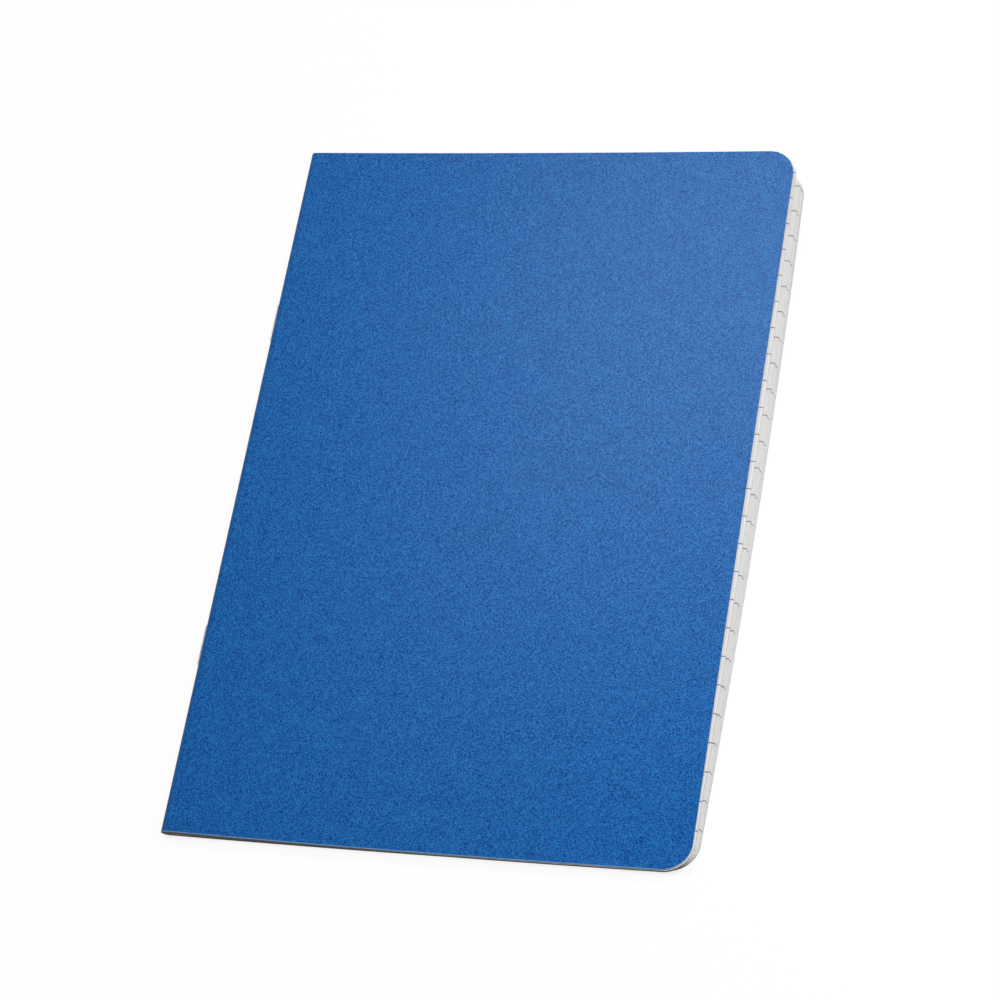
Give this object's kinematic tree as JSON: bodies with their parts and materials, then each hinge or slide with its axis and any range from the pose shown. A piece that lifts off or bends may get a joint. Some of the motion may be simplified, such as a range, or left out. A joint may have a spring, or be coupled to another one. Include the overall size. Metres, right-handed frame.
{
  "type": "notebook",
  "caption": "Soft-cover notebook with a plain blue card cover, ruled white leaves with rounded fore-edge corners, and a stapled fold at the spine.",
  "frame": {"origin": "middle of the closed notebook's outline, on the underside of the back cover", "axes": "+X from the spine to the fore edge, +Y from the tail to the head, +Z out of the front cover"},
  "size_m": [0.1418, 0.21, 0.0123],
  "materials": {
    "cover_card": "matt blue card, faint fibre grain",
    "leaf_paper": "uncoated white writing paper, grey ruling",
    "staple_wire": "bright drawn wire"
  },
  "bodies": {
    "back_cover": {"back_cover": "cover_card", "staple_tail": "staple_wire", "staple_head": "staple_wire", "leaf_21": "leaf_paper", "leaf_22": "leaf_paper", "leaf_23": "leaf_paper", "leaf_24": "leaf_paper"},
    "leaves_01_04": {"cover_spine": "cover_card", "leaf_01": "leaf_paper", "leaf_02": "leaf_paper", "leaf_03": "leaf_paper", "leaf_04": "leaf_paper"},
    "leaves_05_08": {"leaf_05": "leaf_paper", "leaf_06": "leaf_paper", "leaf_07": "leaf_paper", "leaf_08": "leaf_paper"},
    "leaves_09_12": {"leaf_09": "leaf_paper", "leaf_10": "leaf_paper", "leaf_11": "leaf_paper", "leaf_12": "leaf_paper"},
    "leaves_13_16": {"leaf_13": "leaf_paper", "leaf_14": "leaf_paper", "leaf_15": "leaf_paper", "leaf_16": "leaf_paper"},
    "leaves_17_20": {"leaf_17": "leaf_paper", "leaf_18": "leaf_paper", "leaf_19": "leaf_paper", "leaf_20": "leaf_paper"},
    "front_cover": {"front_cover": "cover_card"}
  },
  "joints": [
    {"name": "centre_opening", "type": "hinge", "parent": "back_cover", "child": "leaves_01_04", "pos_m": [-0.07093, 0, 0.00196], "axis": [0, -1, 0], "range_deg": [0, 175]},
    {"name": "front_cover_opening", "type": "hinge", "parent": "leaves_01_04", "child": "front_cover", "pos_m": [-0.06836, 0, 0.00397], "axis": [0, -1, 0], "range_deg": [0, 177]},
    {"name": "turn_of_leaves_05_08", "type": "hinge", "parent": "back_cover", "child": "leaves_05_08", "pos_m": [-0.07093, 0, 0.00196], "axis": [0, -1, 0], "range_deg": [0, 174]},
    {"name": "turn_of_leaves_09_12", "type": "hinge", "parent": "back_cover", "child": "leaves_09_12", "pos_m": [-0.07093, 0, 0.00196], "axis": [0, -1, 0], "range_deg": [0, 172]},
    {"name": "turn_of_leaves_13_16", "type": "hinge", "parent": "back_cover", "child": "leaves_13_16", "pos_m": [-0.07093, 0, 0.00196], "axis": [0, -1, 0], "range_deg": [0, 1.8]},
    {"name": "turn_of_leaves_17_20", "type": "hinge", "parent": "back_cover", "child": "leaves_17_20", "pos_m": [-0.07093, 0, 0.00196], "axis": [0, -1, 0], "range_deg": [0, 0.9]}
  ],
  "couplings": [
    {"joint": "turn_of_leaves_05_08", "follows": "centre_opening", "ratio": 0.99},
    {"joint": "turn_of_leaves_09_12", "follows": "centre_opening", "ratio": 0.98},
    {"joint": "turn_of_leaves_13_16", "follows": "centre_opening", "ratio": 0.01},
    {"joint": "turn_of_leaves_17_20", "follows": "centre_opening", "ratio": 0.005}
  ]
}
